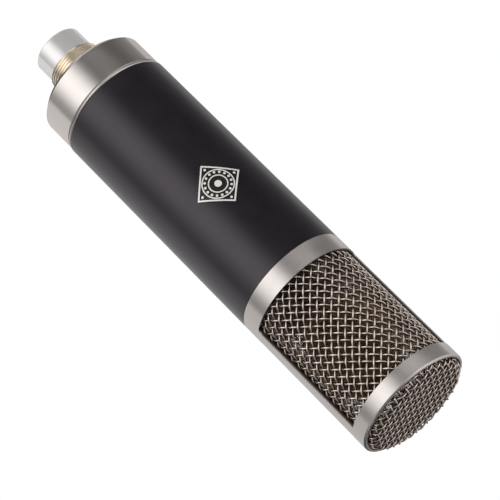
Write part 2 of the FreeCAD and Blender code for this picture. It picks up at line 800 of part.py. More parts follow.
def make_rails():
    """Two angle bars that tie the bulkheads together; the board lies on their inward flanges."""
    inner = dim.rail_inner
    outer = inner + dim.rail_thickness
    half = dim.rail_width / 2
    flange_low = dim.board_face + dim.board_thickness
    flange_bottom = dim.tail_bulkhead_bottom + dim.tail_bulkhead_height + dim.rail_flange_gap
    flange_top = dim.head_bulkhead_bottom - dim.rail_top_gap
    start = outer + OVERSHOOT
    for side, label in ((-1, "chassis_rail_left"), (1, "chassis_rail_right")):
        def across(near, far):
            return (near, far) if side == 1 else (-far, -near)
        web = box(f"{label}_web", across(inner, outer), (-half, half), (dim.rail_bottom, dim.rail_top))
        flange = box(f"{label}_flange", across(inner - dim.rail_flange, inner + SLIP),
                     (flange_low, flange_low + dim.rail_flange_thickness), (flange_bottom, flange_top))
        holes = []
        for number, height in enumerate((TAIL_RAIL_SCREW, HEAD_RAIL_SCREW)):
            direction = LEFTWARD if side == 1 else RIGHTWARD
            holes.append(cylinder(f"{label}_hole_{number}", SCREW_HOLE, dim.rail_thickness + 2 * OVERSHOOT,
                                  start * side, ZERO, height, direction))
            holes.append(cylinder(f"{label}_seat_{number}", dim.screw_head_radius + SLIP / 2,
                                  dim.screw_head_height + OVERSHOOT, start * side, ZERO, height, direction))
        for number, height in enumerate(BOARD_SCREW_HEIGHTS):
            holes.append(cylinder(f"{label}_board_hole_{number}", SCREW_HOLE,
                                  dim.rail_flange_thickness + 2 * OVERSHOOT,
                                  BOARD_SCREW_REACH * side, flange_low - OVERSHOOT, height, REARWARD))
        node(cut(label + "_part", joined(label + "_bar", [web, flange]), holes), label)


def make_chassis_screws():
    head = (dim.screw_head_radius, dim.screw_head_height)
    shank = dim.screw_radius
    rail_outer = dim.rail_inner + dim.rail_thickness
    seat = rail_outer - dim.screw_head_height
    rail_screws = []
    for side, direction in ((1, LEFTWARD), (-1, RIGHTWARD)):
        for number, height in enumerate((TAIL_RAIL_SCREW, HEAD_RAIL_SCREW)):
            rail_screws.append(screw(f"rail_screw_{side + 1}_{number}", shank, *head,
                                     dim.rail_screw_length, seat * side, ZERO, height, direction))
    node(joined("rail_screw_group", rail_screws), "rail_screws")

    frame_screws = []
    for angle in FRAME_SCREW_ANGLES:
        x, y = polar(dim.frame_screw_circle, angle)
        frame_screws.append(screw(f"frame_screw_{angle}", shank, *head, dim.frame_screw_length,
                                  x, y, FRAME_SCREW_SEAT, UP))
    node(joined("frame_screw_group", frame_screws), "frame_screws")

    stem_screws = []
    for angle in STEM_SCREW_ANGLES:
        x, y = polar(STEM_SCREW_CIRCLE, angle)
        stem_screws.append(screw(f"stem_screw_{angle}", shank, *head, dim.stem_screw_length,
                                 x, y, dim.stem_flange_bottom, UP))
    node(joined("stem_screw_group", stem_screws), "stem_screws")


# ---------------------------------------------------------------- circuit board

def make_circuit_board():
    face = dim.board_face
    half = dim.board_width / 2
    board = box("board", (-half, half), (face, face + dim.board_thickness), (dim.board_bottom, dim.board_top))
    holes, screws = [], []
    for side in (-1, 1):
        for number, height in enumerate(BOARD_SCREW_HEIGHTS):
            reach = BOARD_SCREW_REACH * side
            holes.append(cylinder(f"board_hole_{side + 1}_{number}", dim.screw_radius + SLIP,
                                  dim.board_thickness + 2 * OVERSHOOT,
                                  reach, face - OVERSHOOT, height, REARWARD))
            screws.append(screw(f"board_screw_{side + 1}_{number}", dim.screw_radius,
                                dim.screw_head_radius, dim.screw_head_height, dim.board_screw_length,
                                reach, face, height, REARWARD))
    node(cut("board_drilled", board, holes), "circuit_board")
    node(joined("board_screw_group", screws), "board_screws")

    films = []
    across = (dim.film_left, dim.film_left + dim.film_width)
    depth = (face - dim.film_depth, face)
    for number in range(FILM_COUNT):
        low = dim.film_bottom + dim.film_step * number
        films.append(box(f"film_{number}", across, depth, (low, low + dim.film_length)))
    node(joined("film_group", films), "film_capacitors")

    cans = []
    for number in range(CAN_COUNT):
        height = dim.can_bottom + dim.can_step * number
        cans.append(cylinder(f"can_{number}", dim.can_radius, dim.can_length,
                             dim.can_across, face, height, FRONTWARD))
    node(joined("can_group", cans), "electrolytic_capacitors")

    spot = (dim.transistor_across, face, dim.transistor_height, FRONTWARD)
    metal_can = cylinder("transistor_can", dim.transistor_radius, dim.transistor_length, *spot)
    rim = cylinder("transistor_rim", dim.transistor_rim_radius, dim.transistor_rim_thickness, *spot)
    node(joined("transistor_body", [metal_can, rim]), "transistor")


def make_resistors():
    """A row behind the board: each body stands on two bent wire legs."""
    rear = dim.board_face + dim.board_thickness
    axis = rear + dim.resistor_rise
    low = dim.resistor_leg_bottom
    resistors = []
    for number in range(RESISTOR_COUNT):
        across = dim.resistor_left + dim.resistor_step * number
        parts = [
            cylinder(f"resistor_{number}", dim.resistor_radius, dim.resistor_length,
                     across, axis, dim.resistor_bottom),
            cylinder(f"resistor_{number}_wire", dim.resistor_leg_radius, dim.resistor_leg_step,
                     across, axis, low),
        ]
        for end, height in enumerate((low, low + dim.resistor_leg_step)):
            parts.append(cylinder(f"resistor_{number}_leg_{end}", dim.resistor_leg_radius,
                                  dim.resistor_leg_length, across, rear, height, REARWARD))
        resistors.append(joined(f"resistor_{number}_whole", parts))
    node(joined("resistor_group", resistors), "resistors")


# ---------------------------------------------------------------- output transformer

def make_transformer():
    low = dim.core_bottom
    high = low + dim.core_height
    half_width, half_depth = dim.core_width / 2, dim.core_depth / 2
    half_leg = dim.core_leg / 2
    window_far = half_leg + dim.core_window
    core = box("core_stack", (-half_width, half_width), (-half_depth, half_depth), (low, high))
    spans = {"right": (half_leg, window_far), "left": (-window_far, -half_leg)}
    windows = [
        box(f"core_window_{side}", span, (-half_depth - OVERSHOOT, half_depth + OVERSHOOT),
            (low + dim.core_yoke, high - dim.core_yoke))
        for side, span in spans.items()
    ]
    node(cut("core", core, windows), "transformer_core")

    clear = dim.winding_gap
    coil_low, coil_high = low + dim.core_yoke + clear, high - dim.core_yoke - clear
    coil_half = window_far - clear
    coil_depth = dim.winding_depth / 2
    coil = box("coil", (-coil_half, coil_half), (-coil_depth, coil_depth), (coil_low, coil_high))
    leg = box("coil_hole", (-half_leg - clear / 2, half_leg + clear / 2),
              (-half_depth - clear / 2, half_depth + clear / 2),
              (coil_low - OVERSHOOT, coil_high + OVERSHOOT))
    node(cut("winding", coil, [leg]), "transformer_winding")

    floor = dim.tail_bulkhead_bottom + dim.tail_bulkhead_height
    foot_top = floor + dim.foot_thickness
    strap = dim.strap_thickness
    foot_reach = dim.rail_inner - dim.foot_gap
    strap_half = half_depth - dim.strap_inset
    parts = [box("bracket_foot", (-foot_reach, foot_reach), (-strap_half, strap_half), (floor, foot_top))]
    for side in (-1, 1):
        near, far = half_width + SLIP / 2, half_width + strap
        span = (near, far) if side == 1 else (-far, -near)
        parts.append(box(f"bracket_arm_{side + 1}", span, (-strap_half, strap_half), (floor, high)))
    holes = []
    screws = []
    for side in (-1, 1):
        reach = FOOT_SCREW_REACH * side
        holes.append(cylinder(f"bracket_hole_{side + 1}", dim.screw_radius + SLIP,
                              dim.foot_thickness + 2 * OVERSHOOT, reach, ZERO, floor - OVERSHOOT))
        screws.append(screw(f"bracket_screw_{side + 1}", dim.screw_radius, dim.foot_screw_head,
                            dim.screw_head_height, dim.foot_screw_length, reach, ZERO, foot_top, DOWN))
    node(cut("bracket", joined("bracket_bent", parts), holes), "transformer_bracket")
    node(joined("bracket_screw_group", screws), "bracket_screws")


# ---------------------------------------------------------------- capsule

def disc(name, radius, near, far, side):
    """A disc across the capsule axis, from near to far on the front (-1) or rear (1) side."""
    direction = FRONTWARD if side == -1 else REARWARD
    return cylinder(name, radius, far - near, ZERO, near * side, dim.capsule_centre, direction)


def ring_screw_cylinders(prefix, radius, near, far, side):
    """One cylinder, a hole or a part of a screw, at each place round the clamp ring."""
    direction = FRONTWARD if side == -1 else REARWARD
    cylinders = []
    for number in range(RING_SCREW_COUNT):
        angle = 360 / RING_SCREW_COUNT * (number + 0.5)
        x, up = polar(dim.ring_screw_circle, angle)
        cylinders.append(cylinder(f"{prefix}_{number}", radius, far - near,
                                  x, near * side, dim.capsule_centre + up, direction))
    return cylinders


def make_capsule_side(side, word):
    """Backplate, diaphragm, clamp ring and screws on one face of the capsule."""
    plate_near = dim.spacer_half
    film_near = plate_near + dim.backplate_thickness
    clamp_near = film_near + dim.diaphragm_thickness
    clamp_far = clamp_near + dim.clamp_thickness
    hole = dim.ring_screw_radius + dim.thread_fit

    plate = disc(f"{word}_plate", dim.capsule_radius, plate_near, film_near, side)
    holes = ring_screw_cylinders(f"{word}_plate_hole", hole, film_near - dim.ring_tap_depth,
                                 film_near + OVERSHOOT, side)
    node(cut(f"{word}_plate_drilled", plate, holes), f"{word}_backplate")

    film = disc(f"{word}_film", dim.capsule_radius - dim.diaphragm_inset, film_near, clamp_near, side)
    holes = ring_screw_cylinders(f"{word}_film_hole", hole, film_near - OVERSHOOT,
                                 clamp_near + OVERSHOOT, side)
    node(cut(f"{word}_film_punched", film, holes), f"{word}_diaphragm")

    clamp = disc(f"{word}_clamp", dim.capsule_radius, clamp_near, clamp_far, side)
    past = (clamp_near - OVERSHOOT, clamp_far + OVERSHOOT, side)
    opening = disc(f"{word}_clamp_opening", dim.clamp_inner_radius, *past)
    holes = ring_screw_cylinders(f"{word}_clamp_hole", hole, *past)
    node(cut(f"{word}_clamp_drilled", clamp, [opening] + holes), f"{word}_clamp_ring")

    screws = []
    shanks = ring_screw_cylinders(f"{word}_shank", dim.ring_screw_radius,
                                  film_near - dim.ring_screw_depth, clamp_far + SLIP, side)
    heads = ring_screw_cylinders(f"{word}_head", dim.ring_screw_head, clamp_far,
                                 clamp_far + dim.ring_screw_head_height, side)
    for number, pair in enumerate(zip(shanks, heads)):
        screws.append(joined(f"{word}_ring_screw_{number}", list(pair)))
    node(joined(f"{word}_ring_screw_group", screws), f"{word}_ring_screws")
    return disc(f"{word}_terminal", dim.terminal_radius, clamp_near, clamp_near + dim.terminal_height, side)


def make_capsule():
    spacer = cylinder("spacer_disc", dim.capsule_radius, dim.spacer_half * 2,
                      ZERO, -dim.spacer_half, dim.capsule_centre, REARWARD)
    opening = cylinder("spacer_opening", dim.spacer_inner_radius, (dim.spacer_half + OVERSHOOT) * 2,
                       ZERO, -dim.spacer_half - OVERSHOOT, dim.capsule_centre, REARWARD)
    node(cut("spacer", spacer, [opening]), "backplate_spacer")
    terminals = [make_capsule_side(side, word) for side, word in ((-1, "front"), (1, "rear"))]
    node(joined("terminal_pair", terminals), "capsule_terminals")


def make_saddle():
    """Rubber-mounted cradle that carries the capsule above the head bulkhead."""
    floor = dim.head_bulkhead_top
    rubber_top = floor + dim.isolator_height
    base_top = rubber_top + dim.saddle_base_height
    node(ring("isolator", dim.saddle_screw_radius + SLIP, dim.isolator_radius, floor, rubber_top),
         "rubber_isolator")

    base = cylinder("saddle_base", dim.saddle_base_radius, dim.saddle_base_height, z=rubber_top)
    half_width, half_depth = dim.saddle_width / 2, dim.saddle_depth / 2
    neck_half = dim.saddle_neck_width / 2
    cradle_bottom = dim.saddle_top - dim.saddle_cradle_height
    neck = box("saddle_neck", (-neck_half, neck_half), (-half_depth, half_depth),
               (rubber_top, cradle_bottom + OVERSHOOT))
    cradle = box("saddle_cradle", (-half_width, half_width), (-half_depth, half_depth),
                 (cradle_bottom, dim.saddle_top))
    seat = cylinder("saddle_seat", dim.capsule_radius + SLIP / 2, dim.saddle_depth + 2 * OVERSHOOT,
                    ZERO, -half_depth - OVERSHOOT, dim.capsule_centre, REARWARD)
    tapped = cylinder("saddle_tapped", dim.saddle_screw_radius + dim.thread_fit,
                      dim.saddle_base_height + OVERSHOOT, z=rubber_top - OVERSHOOT)
    node(cut("saddle", joined("saddle_blank", [base, neck, cradle]), [seat, tapped]), "capsule_saddle")

    seat_height = dim.head_bulkhead_bottom + dim.saddle_seat_depth
    node(screw("saddle_bolt", dim.saddle_screw_radius, dim.saddle_screw_head, dim.saddle_screw_head_height,
               base_top - 3 * SLIP - seat_height, ZERO, ZERO, seat_height, UP), "saddle_screw")


# ---------------------------------------------------------------- wires

def rounded_path(points, bend):
    """Straight runs joined by tangent arcs of one radius, or less where a run is short."""
    edges = []
    start = points[0]
    for before, corner, after in zip(points, points[1:], points[2:]):
        incoming = (corner - before).normalize()
        outgoing = (after - corner).normalize()
        turn = incoming.getAngle(outgoing)
        room = BEND_SHARE * min((corner - before).Length, (after - corner).Length)
        reach = min(bend * math.tan(turn / 2), room)
        radius = reach / math.tan(turn / 2)
        first = corner - incoming * reach
        last = corner + outgoing * reach
        inward = (outgoing - incoming).normalize()
        centre = corner + inward * (radius / math.cos(turn / 2))
        middle = centre - inward * radius
        edges.append(Part.LineSegment(start, first).toShape())
        edges.append(Part.Arc(first, middle, last).toShape())
        start = last
    edges.append(Part.LineSegment(start, points[-1]).toShape())
    return Part.Wire(edges)


def wire_solid(points, radius, bend):
    path = rounded_path(points, bend)
    direction = (points[1] - points[0]).normalize()
    section = Part.Wire([Part.Circle(points[0], direction, radius).toShape()])
    return path.makePipeShell([section], True, False)


def wire_node(name, solids, label):
    item = doc.addObject("Part::Feature", name)
    item.Shape = Part.makeCompound(solids)
    node(item, label)


def make_wires():
    """Insulated wires from the capsule's terminals and the connector's pins to the board."""
    offset = dim.lead_offset.value
    centre = dim.capsule_centre.value
    film_far = dim.spacer_half + dim.backplate_thickness + dim.diaphragm_thickness
    terminal = (film_far + dim.terminal_height).value
    landing = (dim.board_top - dim.lead_landing).value
    solids = []
    for side, board_side in ((-1, dim.board_face.value), (1, (dim.board_face + dim.board_thickness).value)):
        solids.append(wire_solid([
            Vector(0, terminal * side, centre),
            Vector(0, offset * side, centre),
            Vector(0, offset * side, landing),
            Vector(0, board_side, landing),
        ], dim.lead_radius.value, dim.lead_bend.value))
    wire_node("capsule_lead_pair", solids, "capsule_leads")

    floor = (dim.tail_bulkhead_bottom + dim.tail_bulkhead_height).value
    board_low = (dim.board_bottom + dim.connector_landing).value
    near = -dim.connector_lead_near.value
    far = -dim.connector_lead_far.value
    turn = dim.connector_lead_turn.value
    spread = dim.connector_lead_spread.value
    solids = []
    for angle, across in zip(PIN_ANGLES, (spread, -spread, 0)):
        x, y = polar(dim.pin_circle.value, angle)
        solids.append(wire_solid([
            Vector(x, y, dim.solder_cup_top.value),
            Vector(x, y, (dim.solder_cup_top + dim.connector_lead_rise).value),
            Vector(across, near, floor - turn),
            Vector(across, near, floor + OVERSHOOT),
            Vector(across, far, floor + turn),
            Vector(across, far, board_low),
            Vector(across, dim.board_face.value, board_low),
        ], dim.connector_lead_radius.value, dim.connector_lead_bend.value))
    wire_node("connector_lead_group", solids, "connector_leads")


# ---------------------------------------------------------------- assembly

make_grille_frame()
make_meshes()
make_body_tube()
make_badge()
make_tail_cap()
make_stem()
make_connector()
make_bulkheads()
make_rails()
make_chassis_screws()
make_circuit_board()
make_resistors()
make_transformer()
make_capsule()
make_saddle()
make_wires()

doc.recompute()
for item in doc.Objects:
    if "Invalid" in item.State or "Error" in item.State:
        raise RuntimeError(f"{item.Label} did not recompute: {item.State}")
os.makedirs("parts", exist_ok=True)
for item in finished:
    shape = item.Shape
    if shape.isNull() or not shape.isValid() or not shape.Solids:
        raise RuntimeError(f"{item.Label} has no valid solid")
for item in finished:
    item.Shape.exportStep(f"parts/{item.Label}.step")
print(f"{len(finished)} sub-parts")
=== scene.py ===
"""Side-address studio microphone: woven grille, stand thread, finishes, light and camera."""
import json
import math

import bpy
import numpy as np
from mathutils import Matrix, Vector


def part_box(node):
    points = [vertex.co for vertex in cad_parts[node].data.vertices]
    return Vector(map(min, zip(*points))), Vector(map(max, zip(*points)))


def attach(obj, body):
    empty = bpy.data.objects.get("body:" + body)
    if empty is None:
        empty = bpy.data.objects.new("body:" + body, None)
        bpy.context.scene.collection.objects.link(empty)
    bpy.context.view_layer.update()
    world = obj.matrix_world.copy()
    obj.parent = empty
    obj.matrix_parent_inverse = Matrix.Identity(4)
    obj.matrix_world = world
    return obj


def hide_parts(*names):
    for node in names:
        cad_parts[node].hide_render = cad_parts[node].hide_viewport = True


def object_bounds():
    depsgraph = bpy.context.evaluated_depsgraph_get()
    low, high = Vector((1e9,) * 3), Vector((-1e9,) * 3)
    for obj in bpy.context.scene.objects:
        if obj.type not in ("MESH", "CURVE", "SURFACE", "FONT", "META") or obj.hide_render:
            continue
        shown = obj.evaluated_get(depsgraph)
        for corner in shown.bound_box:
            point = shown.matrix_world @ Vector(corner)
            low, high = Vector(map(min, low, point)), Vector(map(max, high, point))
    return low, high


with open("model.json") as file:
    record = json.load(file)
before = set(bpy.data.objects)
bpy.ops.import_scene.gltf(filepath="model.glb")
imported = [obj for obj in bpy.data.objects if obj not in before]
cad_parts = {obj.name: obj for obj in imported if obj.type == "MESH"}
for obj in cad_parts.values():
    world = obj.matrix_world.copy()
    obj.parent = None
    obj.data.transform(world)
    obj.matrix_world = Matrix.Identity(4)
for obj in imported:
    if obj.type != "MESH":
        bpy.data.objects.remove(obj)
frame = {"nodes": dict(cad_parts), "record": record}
cad_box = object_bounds()

MM = 0.001
HEAD = "head_chassis"


# ---------------------------------------------------------------- camera

CAMERA_AZIMUTH = math.radians(15.306)
CAMERA_ELEVATION = math.radians(23.418)
CAMERA_ROLL = math.radians(-134.984)
CAMERA_TARGET = Vector((2.306, 0.631, 90.579)) * MM
CAMERA_SIDE = Vector((math.sin(CAMERA_AZIMUTH), -math.cos(CAMERA_AZIMUTH), 0.0))
CAMERA_DISTANCE = 850.66 * MM
CAMERA_LENS = 177.33
SENSOR_WIDTH = 36.0
CAMERA_CLIP = (0.01, 20.0)


def make_camera():
    """A long lens that looks down on the front, rolled so that the grille points down and right."""
    level = math.cos(CAMERA_ELEVATION)
    forward = Vector((
        -math.sin(CAMERA_AZIMUTH) * level,
        math.cos(CAMERA_AZIMUTH) * level,
        -math.sin(CAMERA_ELEVATION),
    ))
    side = forward.cross(Vector((0, 0, 1))).normalized()
    upright = side.cross(forward)
    right = math.cos(CAMERA_ROLL) * side - math.sin(CAMERA_ROLL) * upright
    up = math.cos(CAMERA_ROLL) * upright + math.sin(CAMERA_ROLL) * side
    data = bpy.data.cameras.new("studio_camera")
    data.sensor_width = SENSOR_WIDTH
    data.lens = CAMERA_LENS
    data.clip_start, data.clip_end = CAMERA_CLIP
    camera = bpy.data.objects.new("studio_camera", data)
    turn = Matrix((right, up, -forward)).transposed()
    camera.matrix_world = Matrix.Translation(CAMERA_TARGET - forward * CAMERA_DISTANCE) @ turn.to_4x4()
    bpy.context.scene.collection.objects.link(camera)
    bpy.context.scene.camera = camera


# ---------------------------------------------------------------- node trees

class Graph:
    """A node tree that is built with one call for each node."""

    def __init__(self, tree):
        self.tree = tree

    def add(self, kind, settings=None, **sockets):
        """A node; a socket takes another node's output or a plain value, by its name or number."""
        made = self.tree.nodes.new(kind)
        for key, value in (settings or {}).items():
            setattr(made, key, value)
        for key, value in sockets.items():
            numbered = key[0] == "i" and key[1:].isdigit()
            name = int(key[1:]) if numbered else key.replace("_", " ")
            self.feed(made.inputs[name], value)
        return made

    def feed(self, socket, value):
        """Links another node's output to a socket, or gives the socket a plain value."""
        if isinstance(value, bpy.types.NodeSocket):
            self.tree.links.new(value, socket)
        else:
            socket.default_value = value

    def math(self, operation, a, b=0.0, clamp=False):
        """One arithmetic step."""
        made = self.add("ShaderNodeMath", {"operation": operation, "use_clamp": clamp}, i0=a, i1=b)
        return made.outputs[0]

    def remap(self, value, low, high, to_low, to_high, kind="LINEAR"):
        """A value taken from one range to another and held inside it."""
        made = self.add("ShaderNodeMapRange", {"interpolation_type": kind, "clamp": True}, Value=value)
        for name, number in (("From Min", low), ("From Max", high), ("To Min", to_low), ("To Max", to_high)):
            made.inputs[name].default_value = number
        return made.outputs[0]

    def mix(self, factor, a, b, blend="MIX"):
        """Two colours mixed."""
        made = self.add("ShaderNodeMix", {"data_type": "RGBA", "blend_type": blend})
        for index, value in ((0, factor), (6, a), (7, b)):
            self.feed(made.inputs[index], value)
        return made.outputs[2]

    def grey(self, value):
        """A value as an even colour."""
        return self.add("ShaderNodeCombineXYZ", X=value, Y=value, Z=value).outputs[0]

    def dot(self, vector, direction):
        """The length of a vector along a direction."""
        made = self.add("ShaderNodeVectorMath", {"operation": "DOT_PRODUCT"}, i0=vector, i1=direction)
        return made.outputs["Value"]

    def noise(self, vector, scale, detail=3.0, roughness=0.5):
        """Noise at a scale in cycles per metre."""
        made = self.add("ShaderNodeTexNoise", Vector=vector, Scale=scale, Detail=detail, Roughness=roughness)
        return made.outputs["Fac"]

    def vary(self, noise, low, high):
        """The middle of a noise's range spread from one value to another."""
        return self.remap(noise, 0.3, 0.7, low, high)


def rgba(red, green, blue):
    """An opaque colour."""
    return (red, green, blue, 1.0)


class Finish(Graph):
    """A material with one Principled shader, in the object's own coordinates."""

    def __init__(self, name):
        self.material = bpy.data.materials.new(name)
        self.material.use_nodes = True
        super().__init__(self.material.node_tree)
        self.tree.nodes.clear()
        self.shader = self.add("ShaderNodeBsdfPrincipled")
        output = self.add("ShaderNodeOutputMaterial")
        self.tree.links.new(self.shader.outputs[0], output.inputs[0])
        self.place = self.add("ShaderNodeTexCoord").outputs["Object"]

    def set(self, name, value):
        """Sets or links one of the shader's sockets."""
        self.feed(self.shader.inputs[name], value)

    def grain(self, scale, detail=3.0, roughness=0.5):
        """Noise that is even in all directions."""
        return self.noise(self.place, scale, detail, roughness)

    def mottle(self, fine, coarse, one, other):
        """Two tones in patches that two noises draw together."""
        patches = self.remap(self.math("ADD", fine, coarse), 0.75, 1.25, 0, 1)
        return self.mix(patches, rgba(*one), rgba(*other))

    def bands(self, direction, scale, distortion=0.0, detail=2.0, profile="SIN"):
        """Stripes across one axis."""
        settings = {"wave_type": "BANDS", "bands_direction": direction, "wave_profile": profile}
        made = self.add("ShaderNodeTexWave", settings, Vector=self.place, Scale=scale, Distortion=distortion,
                        Detail=detail)
        return made.outputs["Fac"]

    def lathe_place(self):
        """Distance out from the lathe axis beside height, so that a pattern in them runs round the part."""
        parts = self.add("ShaderNodeSeparateXYZ", Vector=self.place)
        flat = self.add("ShaderNodeCombineXYZ", X=parts.outputs[0], Y=parts.outputs[1])
        length = self.add("ShaderNodeVectorMath", {"operation": "LENGTH"}, i0=flat.outputs[0])
        radius = length.outputs["Value"]
        return self.add("ShaderNodeCombineXYZ", X=radius, Y=parts.outputs[2]).outputs[0], radius

    def bump(self, height, distance):
        """Relief of the given depth in metres."""
        made = self.add("ShaderNodeBump", Height=height, Distance=distance, Strength=1.0)
        self.set("Normal", made.outputs[0])


# Highlights spread across the turning lines, a quarter turn from the tangent.
QUARTER_TURN = 0.25

# The ledge under the end mesh starts this far inside the frame's wall, and the painted shade on it fades out
# over these distances, outward and upward.
LEDGE_DEPTH = 0.1 * MM
LEDGE_FADE = (0.5 * MM, 0.2 * MM)
LEDGE_SHADE_TONE = (0.06, 0.05, 0.045)


def turned_metal(name, colour, roughness, line_depth, stretch=0.6, patina=0.06, metallic=1.0,
                 lines_seen=1.0, ledge=None):
    """Metal straight from the lathe: fine turning lines, a soft patina and faint smudges.

    A ledge is a radius and a height: below that height the metal inside that radius gets a dark painted
    shade.
    """
    made = Finish(name)
    lathe, radius = made.lathe_place()
    lines = made.noise(lathe, scale=9000, detail=4.0, roughness=0.65)
    ridges = made.noise(lathe, scale=900, detail=2.0)
    cloud = made.grain(scale=120)
    dark = rgba(*(part * (1 - 2 * patina) for part in colour))
    tone = made.mix(made.vary(cloud, 0, 1), dark, rgba(*colour))
    streak = made.grey(made.vary(lines, 1 - 0.06 * lines_seen, 1 + 0.03 * lines_seen))
    skin = made.mix(1.0, tone, streak, "MULTIPLY")
    # Painted shade: surfaces inside the frame's wall and below the sill are darkened where shade falls.
    if ledge:
        edge, sill = ledge
        height = made.add("ShaderNodeSeparateXYZ", Vector=lathe).outputs[1]
        inside = made.remap(radius, edge - LEDGE_FADE[0], edge, 1, 0)
        ledge_shade = made.math("MULTIPLY", inside, made.remap(height, sill - LEDGE_FADE[1], sill, 1, 0))
        skin = made.mix(ledge_shade, skin, rgba(*LEDGE_SHADE_TONE))
    made.set("Base Color", skin)
    made.set("Metallic", metallic)
    spread = 0.05 * lines_seen
    smudge = made.remap(cloud, 0.35, 0.65, -spread / 2, spread / 2)
    rough_shift = made.math("ADD", made.vary(lines, -spread, spread), smudge)
    made.set("Roughness", made.math("ADD", rough_shift, roughness, clamp=True))
    made.set("Anisotropic", stretch)
    made.set("Anisotropic Rotation", QUARTER_TURN)
    made.set("Tangent", made.add("ShaderNodeTangent", {"direction_type": "RADIAL", "axis": "Z"}).outputs[0])
    made.bump(made.math("ADD", lines, made.math("MULTIPLY", ridges, 1.5)), line_depth)
    return made.material


# Radius of the coarse wires, and the bend of the pressed end's shoulder.
OUTER_WIRE = 0.30 * MM
END_BEND = 2.4 * MM

WIRE_GRAIN = 2600
WIRE_CLOUD = 260
DRAW_MARK = 0.006 * MM

# Depths under the weave's crest between which the wires go from a painted shade to their own plated colour.
SIDE_CROWN = (2.6 * OUTER_WIRE, 0.9 * OUTER_WIRE)
END_CROWN = (2.4 * OUTER_WIRE, 0.8 * OUTER_WIRE)
# Colours of the painted shade deep in the weave, and the roughness added there.
WEAVE_SHADE_TONES = ((0.06, 0.045, 0.037), (0.12, 0.09, 0.075))
DEEP_WEAVE_ROUGHNESS = 0.16


def drawn_wire(name, colour, dark, roughness):
    """Drawn and plated wire: draw marks, and a darker tone where the plating is thin."""
    made = Finish(name)
    grain = made.grain(WIRE_GRAIN)
    cloud = made.grain(WIRE_CLOUD, detail=2.0)
    made.set("Base Color", made.mottle(grain, cloud, dark, colour))
    made.set("Metallic", 1.0)
    made.set("Roughness", made.vary(grain, roughness - 0.06, roughness + 0.08))
    made.bump(grain, DRAW_MARK)
    return made.material


def weave_shade_mask(made):
    """From 0 deep in the coarse weave to 1 at its crowns, on the wrap and on the pressed end: where it is
    low, the wire takes a painted shade.
    """
    lathe, radius = made.lathe_place()
    height = made.add("ShaderNodeSeparateXYZ", Vector=lathe).outputs[1]
    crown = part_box("outer_mesh_wrap")[1].x
    rim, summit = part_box("end_mesh_outer")
    out = made.math("MAXIMUM", made.math("SUBTRACT", radius, summit.x - END_BEND), 0)
    up = made.math("MAXIMUM", made.math("SUBTRACT", height, summit.z - END_BEND), 0)
    square = made.math("ADD", made.math("MULTIPLY", out, out), made.math("MULTIPLY", up, up))
    reach = made.math("SQRT", square)
    on_side = made.remap(radius, crown - SIDE_CROWN[0], crown - SIDE_CROWN[1], 0, 1)
    on_end = made.remap(reach, END_BEND - END_CROWN[0], END_BEND - END_CROWN[1], 0, 1)
    beyond = made.math("GREATER_THAN", height, rim.z)
    before = made.math("SUBTRACT", 1.0, beyond)
    return made.math("ADD", made.math("MULTIPLY", on_end, beyond), made.math("MULTIPLY", on_side, before))


def coarse_wire(name, colour, dark, roughness):
    """Plated wire in its own mottled colour at the crowns, with a painted shade where it dives under the
    crossings, and rougher there.
    """
    made = Finish(name)
    unshaded = weave_shade_mask(made)
    grain = made.grain(WIRE_GRAIN)
    cloud = made.grain(WIRE_CLOUD, detail=2.0)
    # Painted shade: dark tones deep in the weave, where the crossing wires shade each other.
    painted_shade = made.mix(grain, rgba(*WEAVE_SHADE_TONES[0]), rgba(*WEAVE_SHADE_TONES[1]))
    made.set("Base Color", made.mix(unshaded, painted_shade, made.mottle(grain, cloud, dark, colour)))
    made.set("Metallic", 1.0)
    rough_shift = made.remap(unshaded, 0, 1, DEEP_WEAVE_ROUGHNESS, 0)
    made.set("Roughness", made.math("ADD", rough_shift, made.vary(grain, roughness - 0.05, roughness + 0.06)))
    made.bump(grain, DRAW_MARK)
    return made.material


LACQUER_IOR = 1.58
LACQUER_SHEEN_TINT = (1.0, 0.93, 1.0)


def black_lacquer():
    """Satin black lacquer over the tube, with a fine sprayed texture."""
    made = Finish("black_lacquer_finish")
    spray = made.grain(scale=3800, roughness=0.6)
    cloud = made.grain(scale=90)
    tone = made.mix(made.vary(cloud, 0, 1), rgba(0.0050, 0.0036, 0.0068), rgba(0.0070, 0.0050, 0.0092))
    handled = made.remap(cloud, 0.35, 0.65, -0.015, 0.015)
    made.set("Base Color", tone)
    made.set("Roughness", made.math("ADD", made.vary(spray, 0.29, 0.35), handled))
    made.set("IOR", LACQUER_IOR)
    made.set("Specular Tint", rgba(*LACQUER_SHEEN_TINT))
    made.bump(spray, 0.004 * MM)
    return made.material


# The badge's field lies below this height over the tube's wall, and its relief stands above it.
RELIEF_STEP = 0.45 * MM
RELIEF_FADE = 0.03 * MM


def badge_metal(relief_radius):
    """Bright metal outside the given radius over a dark field inside it."""
    made = Finish("badge_metal_finish")
    _, radius = made.lathe_place()
    raised = made.remap(radius, relief_radius - RELIEF_FADE, relief_radius + RELIEF_FADE, 0, 1)
    grain = made.grain(scale=5200)
    patches = made.vary(grain, 0, 1)
    bright = made.mix(patches, rgba(0.95, 0.93, 0.90), rgba(1.0, 0.99, 0.96))
    field = made.mix(patches, rgba(0.008, 0.005, 0.004), rgba(0.022, 0.016, 0.014))
    made.set("Base Color", made.mix(raised, field, bright))
    made.set("Metallic", made.remap(raised, 0, 1, 0, 0.15))
    brushed = made.remap(raised, 0, 1, 0.34, 0.36)
    made.set("Roughness", made.math("ADD", brushed, made.vary(grain, -0.04, 0.04)))
    made.bump(grain, 0.008 * MM)
    return made.material


